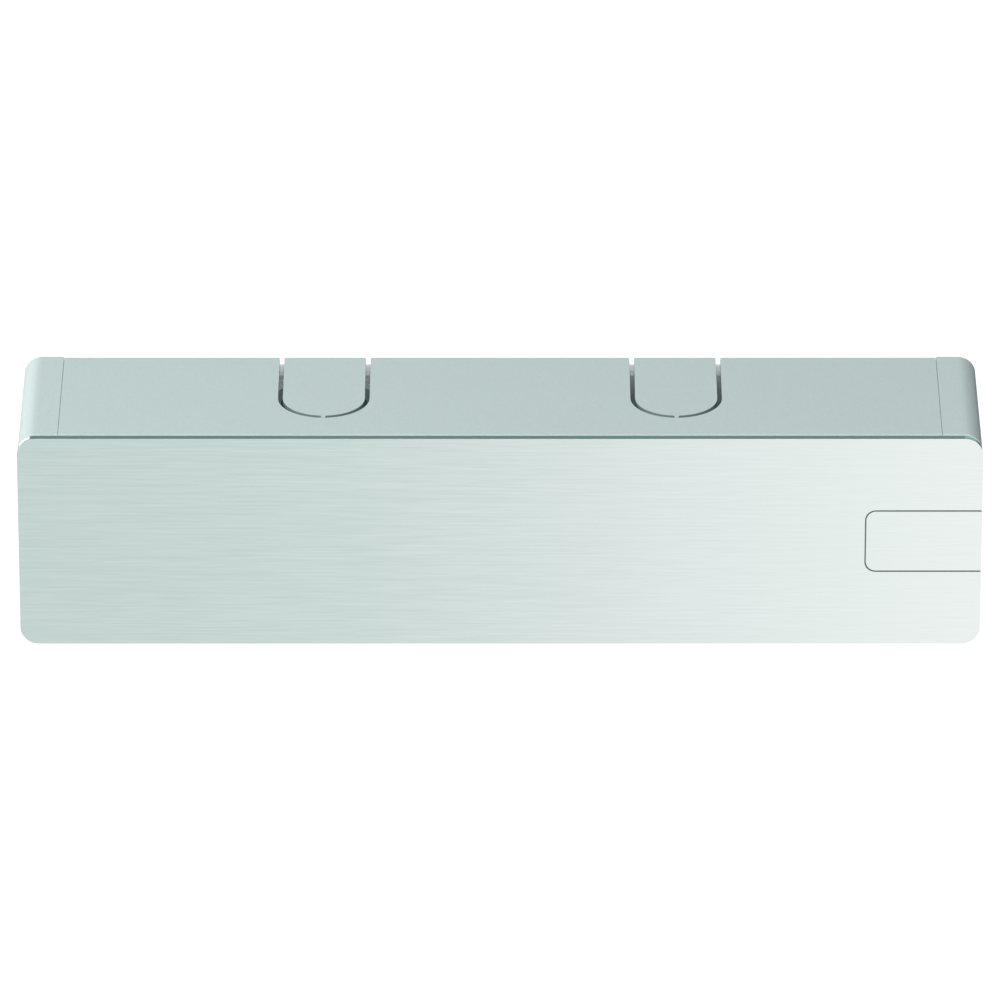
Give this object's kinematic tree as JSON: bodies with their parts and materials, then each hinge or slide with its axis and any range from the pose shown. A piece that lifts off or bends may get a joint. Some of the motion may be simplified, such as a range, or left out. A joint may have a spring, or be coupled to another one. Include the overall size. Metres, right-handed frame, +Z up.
{
  "type": "overhead door closer",
  "caption": "Surface-mounted overhead door closer: a box-shaped silver cover with a brushed front plate, over a spring and oil-damped body with a cam-driven spindle.",
  "frame": {"origin": "middle of the mounting plate's back face, which lies on the door", "axes": "+X along the door to the right as seen from the room, +Y into the door, +Z up"},
  "size_m": [0.281, 0.0572, 0.0666],
  "materials": {
    "brushed_front": "fine horizontal brushing",
    "polished_carrier": "polished",
    "silver_channel": "fine satin coat",
    "silver_cap": "fine satin coat",
    "plated_sheet": "zinc plated",
    "spring_steel": "oil tempered",
    "die_casting": "as cast, painted",
    "plated_screw": "zinc plated",
    "machined_steel": "turned",
    "hardened_steel": "ground",
    "bearing_steel": "ground and polished",
    "seal_rubber": "smooth",
    "ring_plastic": "filled, smooth",
    "brass_valve": "turned"
  },
  "bodies": {
    "body_on_plate": {"mounting_plate": "plated_sheet", "cover_clip_springs": "spring_steel", "closer_housing": "die_casting", "body_fixing_screws": "plated_screw", "damping_end_plug": "machined_steel", "damping_plug_seal": "seal_rubber", "spring_end_plug": "machined_steel", "spring_plug_seal": "seal_rubber", "upper_bearing_cup": "bearing_steel", "lower_bearing_cup": "bearing_steel", "upper_bearing_cover": "machined_steel", "lower_bearing_cover": "machined_steel", "upper_shaft_seal": "seal_rubber", "lower_shaft_seal": "seal_rubber", "gallery_sealing_balls": "bearing_steel", "oil_filler_screw": "plated_screw", "adjuster_thrust_washer": "hardened_steel", "outer_closing_spring": "spring_steel", "inner_closing_spring": "spring_steel", "damping_return_spring": "spring_steel"},
    "cover": {"front_plate": "brushed_front", "badge_plate": "brushed_front", "plate_carrier": "polished_carrier", "cover_channel": "silver_channel", "left_end_cap": "silver_cap", "right_end_cap": "silver_cap"},
    "spindle_and_cam": {"spindle": "hardened_steel", "heart_cam": "hardened_steel", "cam_key": "hardened_steel"},
    "needle_sets": {"upper_needle_cage": "machined_steel", "lower_needle_cage": "machined_steel", "upper_bearing_needles": "bearing_steel", "lower_bearing_needles": "bearing_steel"},
    "drive_piston_set": {"drive_piston": "machined_steel", "drive_piston_ring": "ring_plastic", "drive_roller_pin": "hardened_steel"},
    "drive_roller_alone": {"drive_roller": "hardened_steel"},
    "damping_piston_set": {"damping_piston": "machined_steel", "damping_piston_ring": "ring_plastic", "damping_roller_pin": "hardened_steel", "check_valve_retainer": "spring_steel"},
    "damping_roller_alone": {"damping_roller": "hardened_steel"},
    "check_ball": {"check_valve_ball": "bearing_steel"},
    "force_adjuster": {"force_adjuster_screw": "machined_steel", "force_adjuster_seal": "seal_rubber"},
    "moving_spring_seat": {"spring_seat": "machined_steel"},
    "closing_speed_valve_set": {"closing_speed_valve": "brass_valve", "closing_speed_valve_seal": "seal_rubber"},
    "latching_speed_valve_set": {"latching_speed_valve": "brass_valve", "latching_speed_valve_seal": "seal_rubber"},
    "backcheck_valve_set": {"backcheck_valve": "brass_valve", "backcheck_valve_seal": "seal_rubber"},
    "delayed_closing_valve_set": {"delayed_closing_valve": "brass_valve", "delayed_closing_valve_seal": "seal_rubber"}
  },
  "joints": [
    {"name": "spindle_turn", "type": "hinge", "parent": "body_on_plate", "child": "spindle_and_cam", "pos_m": [-0.05156, -0.02933, 0], "axis": [0, 0, 1], "range_deg": [0, 170]},
    {"name": "needle_sets_turn", "type": "hinge", "parent": "body_on_plate", "child": "needle_sets", "pos_m": [-0.05156, -0.02933, 0], "axis": [0, 0, 1], "range_deg": [0, 74]},
    {"name": "drive_piston_slide", "type": "slide", "parent": "body_on_plate", "child": "drive_piston_set", "axis": [1, 0, 0], "range_m": [0, 0.009], "deforming": ["outer_closing_spring", "inner_closing_spring"]},
    {"name": "drive_roller_turn", "type": "hinge", "parent": "drive_piston_set", "child": "drive_roller_alone", "pos_m": [-0.03556, -0.02933, 0], "axis": [0, 0, 1], "continuous": true},
    {"name": "damping_piston_slide", "type": "slide", "parent": "body_on_plate", "child": "damping_piston_set", "axis": [1, 0, 0], "range_m": [0, 0.009], "deforming": ["damping_return_spring"]},
    {"name": "damping_roller_turn", "type": "hinge", "parent": "damping_piston_set", "child": "damping_roller_alone", "pos_m": [-0.07706, -0.02933, 0], "axis": [0, 0, 1], "continuous": true},
    {"name": "check_ball_lift", "type": "slide", "parent": "damping_piston_set", "child": "check_ball", "axis": [-1, 0, 0], "range_m": [0, 0.0008]},
    {"name": "force_adjuster_turn", "type": "hinge", "parent": "body_on_plate", "child": "force_adjuster", "pos_m": [0.084, -0.02933, 0], "axis": [1, 0, 0], "range_deg": [0, 3600]},
    {"name": "spring_seat_slide", "type": "slide", "parent": "body_on_plate", "child": "moving_spring_seat", "axis": [-1, 0, 0], "range_m": [0, 0.015], "deforming": ["outer_closing_spring", "inner_closing_spring"]},
    {"name": "cover_pull_off", "type": "slide", "parent": "body_on_plate", "child": "cover", "axis": [0, -1, 0], "range_m": [0, 0.08]},
    {"name": "closing_speed_valve_turn", "type": "hinge", "parent": "body_on_plate", "child": "closing_speed_valve_set", "pos_m": [-0.10391, -0.04, 0.02272], "axis": [0, -1, 0], "range_deg": [-180, 360]},
    {"name": "latching_speed_valve_turn", "type": "hinge", "parent": "body_on_plate", "child": "latching_speed_valve_set", "pos_m": [-0.09191, -0.04, 0.02272], "axis": [0, -1, 0], "range_deg": [-180, 360]},
    {"name": "backcheck_valve_turn", "type": "hinge", "parent": "body_on_plate", "child": "backcheck_valve_set", "pos_m": [-0.10391, -0.04, -0.02272], "axis": [0, -1, 0], "range_deg": [-180, 360]},
    {"name": "delayed_closing_valve_turn", "type": "hinge", "parent": "body_on_plate", "child": "delayed_closing_valve_set", "pos_m": [-0.09191, -0.04, -0.02272], "axis": [0, -1, 0], "range_deg": [-180, 360]}
  ],
  "couplings": [
    {"joint": "drive_piston_slide", "follows": "spindle_turn", "m_per_rad": 0.0030239},
    {"joint": "damping_piston_slide", "follows": "spindle_turn", "m_per_rad": 0.0030239},
    {"joint": "needle_sets_turn", "follows": "spindle_turn", "ratio": 0.43456},
    {"joint": "spring_seat_slide", "follows": "force_adjuster_turn", "m_per_rad": 0.00023872}
  ]
}
